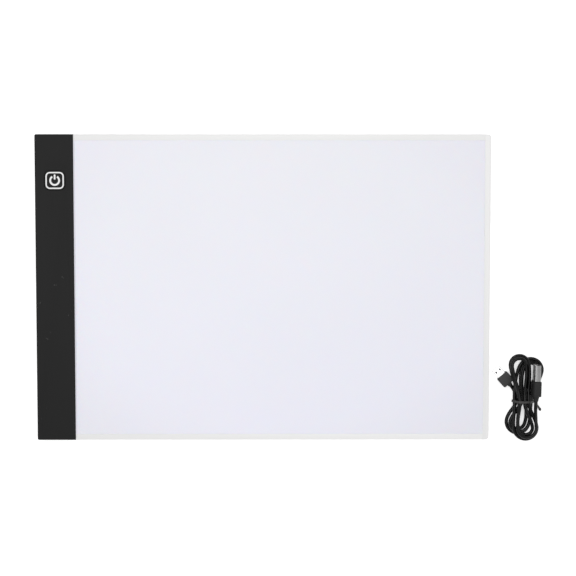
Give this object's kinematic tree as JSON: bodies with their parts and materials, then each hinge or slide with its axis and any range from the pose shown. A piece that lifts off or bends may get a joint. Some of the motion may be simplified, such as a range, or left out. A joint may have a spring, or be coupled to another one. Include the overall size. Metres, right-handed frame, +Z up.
{
  "type": "led tracing pad",
  "caption": "Thin edge-lit drawing light pad with a control strip and power key along its left edge, and a separate charging lead lying beside it in a tied hank.",
  "frame": {"origin": "middle of the pad's footprint on the table; the lead beside it is left out of that box", "axes": "+X along the pad from the black control strip to the far edge, +Y towards the rear edge, which has the socket, +Z up out of the drawing surface"},
  "size_m": [0.3857, 0.2325, 0.0206],
  "materials": {
    "housing": "matt black, fine moulded texture",
    "key": "matt black, a little smoother than the housing",
    "print": "white, satin",
    "screw": "zinc plated",
    "chip": "black moulded",
    "circuit_board": "green solder mask",
    "capacitor": "unglazed",
    "connector_metal": "bright nickel plate",
    "wire_red": "satin insulation",
    "back_board": "white, matt",
    "white_sheet": "white film",
    "light_guide": "clear, polished edges",
    "drawing_surface": "milk white with a faint cool tint, satin",
    "edge_tape": "warm off-white tape",
    "foot": "matt black",
    "cord": "black, semi-gloss",
    "grip": "dark grey, satin",
    "tie": "dark coating over a wire"
  },
  "bodies": {
    "pad": {"strip_bottom_cover": "housing", "strip_top_cover": "housing", "cover_screw_1": "screw", "cover_screw_2": "screw", "cover_screw_3": "screw", "cover_screw_4": "screw", "switch_base": "chip", "control_board": "circuit_board", "controller_chip": "chip", "driver_coil": "chip", "driver_transistor": "chip", "input_capacitor": "capacitor", "output_capacitor": "capacitor", "sense_resistors": "chip", "usb_socket_shell": "connector_metal", "usb_socket_tongue": "chip", "led_bar": "white_sheet", "lamp_wire_red": "wire_red", "lamp_wire_black": "cord", "back_board": "back_board", "reflector_sheet": "white_sheet", "light_guide_plate": "light_guide", "diffuser_sheet": "white_sheet", "drawing_surface": "drawing_surface", "edge_tape_rear": "edge_tape", "edge_tape_front": "edge_tape", "edge_tape_right": "edge_tape", "seam_tape_left": "edge_tape", "foot_rear_left": "foot", "foot_rear_right": "foot", "foot_front_left": "foot", "foot_front_right": "foot"},
    "power_key": {"power_key_cap": "key", "key_outline_print": "print", "power_symbol_arc": "print", "power_symbol_bar": "print", "switch_plunger": "print"},
    "lead": {"lead_hank": "cord", "lead_tail_micro": "cord", "lead_tail_usb": "cord", "micro_plug_grip": "grip", "micro_plug_relief": "grip", "micro_plug_shell": "connector_metal", "micro_plug_core": "chip", "usb_plug_grip": "grip", "usb_plug_relief": "grip", "usb_plug_shell": "connector_metal", "usb_plug_core": "print", "twist_tie": "tie"}
  },
  "joints": [
    {"name": "power_key_press", "type": "slide", "parent": "pad", "child": "power_key", "axis": [0, 0, -1], "range_m": [0, 0.0004], "stiffness_N_per_m": 1500, "springref_m": -0.0001},
    {"name": "lead_lift", "type": "slide", "parent": "pad", "child": "lead", "axis": [0, 0, 1], "range_m": [0, 0.1]}
  ]
}
